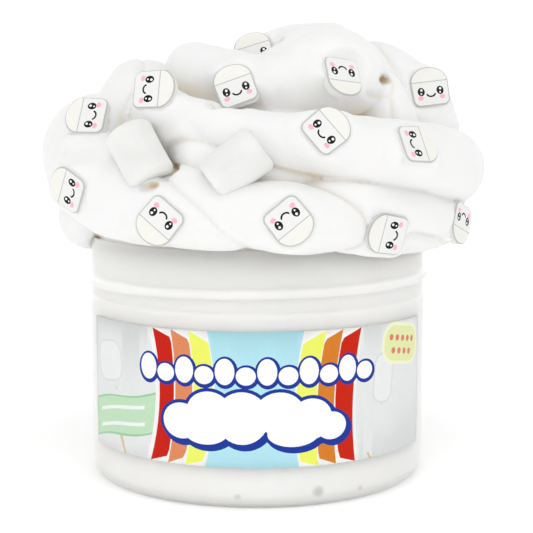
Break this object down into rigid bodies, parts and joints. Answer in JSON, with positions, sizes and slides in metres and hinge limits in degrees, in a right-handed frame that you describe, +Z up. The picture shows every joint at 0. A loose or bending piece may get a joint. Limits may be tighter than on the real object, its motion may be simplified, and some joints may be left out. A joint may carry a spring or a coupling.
{
  "type": "tub of marshmallow slime",
  "caption": "Clear round tub heaped over its rim with thick white slime folds, set with flat smiling marshmallow charms and plain marshmallows, with a striped label.",
  "frame": {"origin": "centre of the tub's flat base", "axes": "+Z up along the tub's axis, -Y out through the middle of the label, +X to the label's right as seen from in front"},
  "size_m": [0.117, 0.117, 0.1185],
  "materials": {
    "tub": "clear glossy PET",
    "label": "glossy printed paper label",
    "slime": "soft white butter slime with a faint sheen",
    "charm": "cast resin with a printed face",
    "marshmallow": "matte, powdery foam"
  },
  "bodies": {
    "root": {"tub": "tub", "label": "label", "slime": "slime", "charm_1": "charm", "charm_2": "charm", "charm_3": "charm", "charm_4": "charm", "charm_5": "charm", "charm_6": "charm", "charm_7": "charm", "charm_8": "charm", "charm_9": "charm", "charm_10": "charm", "charm_11": "charm", "charm_12": "charm", "charm_13": "charm", "charm_14": "charm", "charm_15": "charm", "charm_16": "charm", "charm_17": "charm", "charm_18": "charm", "charm_19": "charm", "charm_20": "charm", "charm_21": "charm", "charm_22": "charm", "marshmallow_1": "marshmallow", "marshmallow_2": "marshmallow", "marshmallow_3": "marshmallow", "marshmallow_4": "marshmallow"}
  },
  "joints": []
}
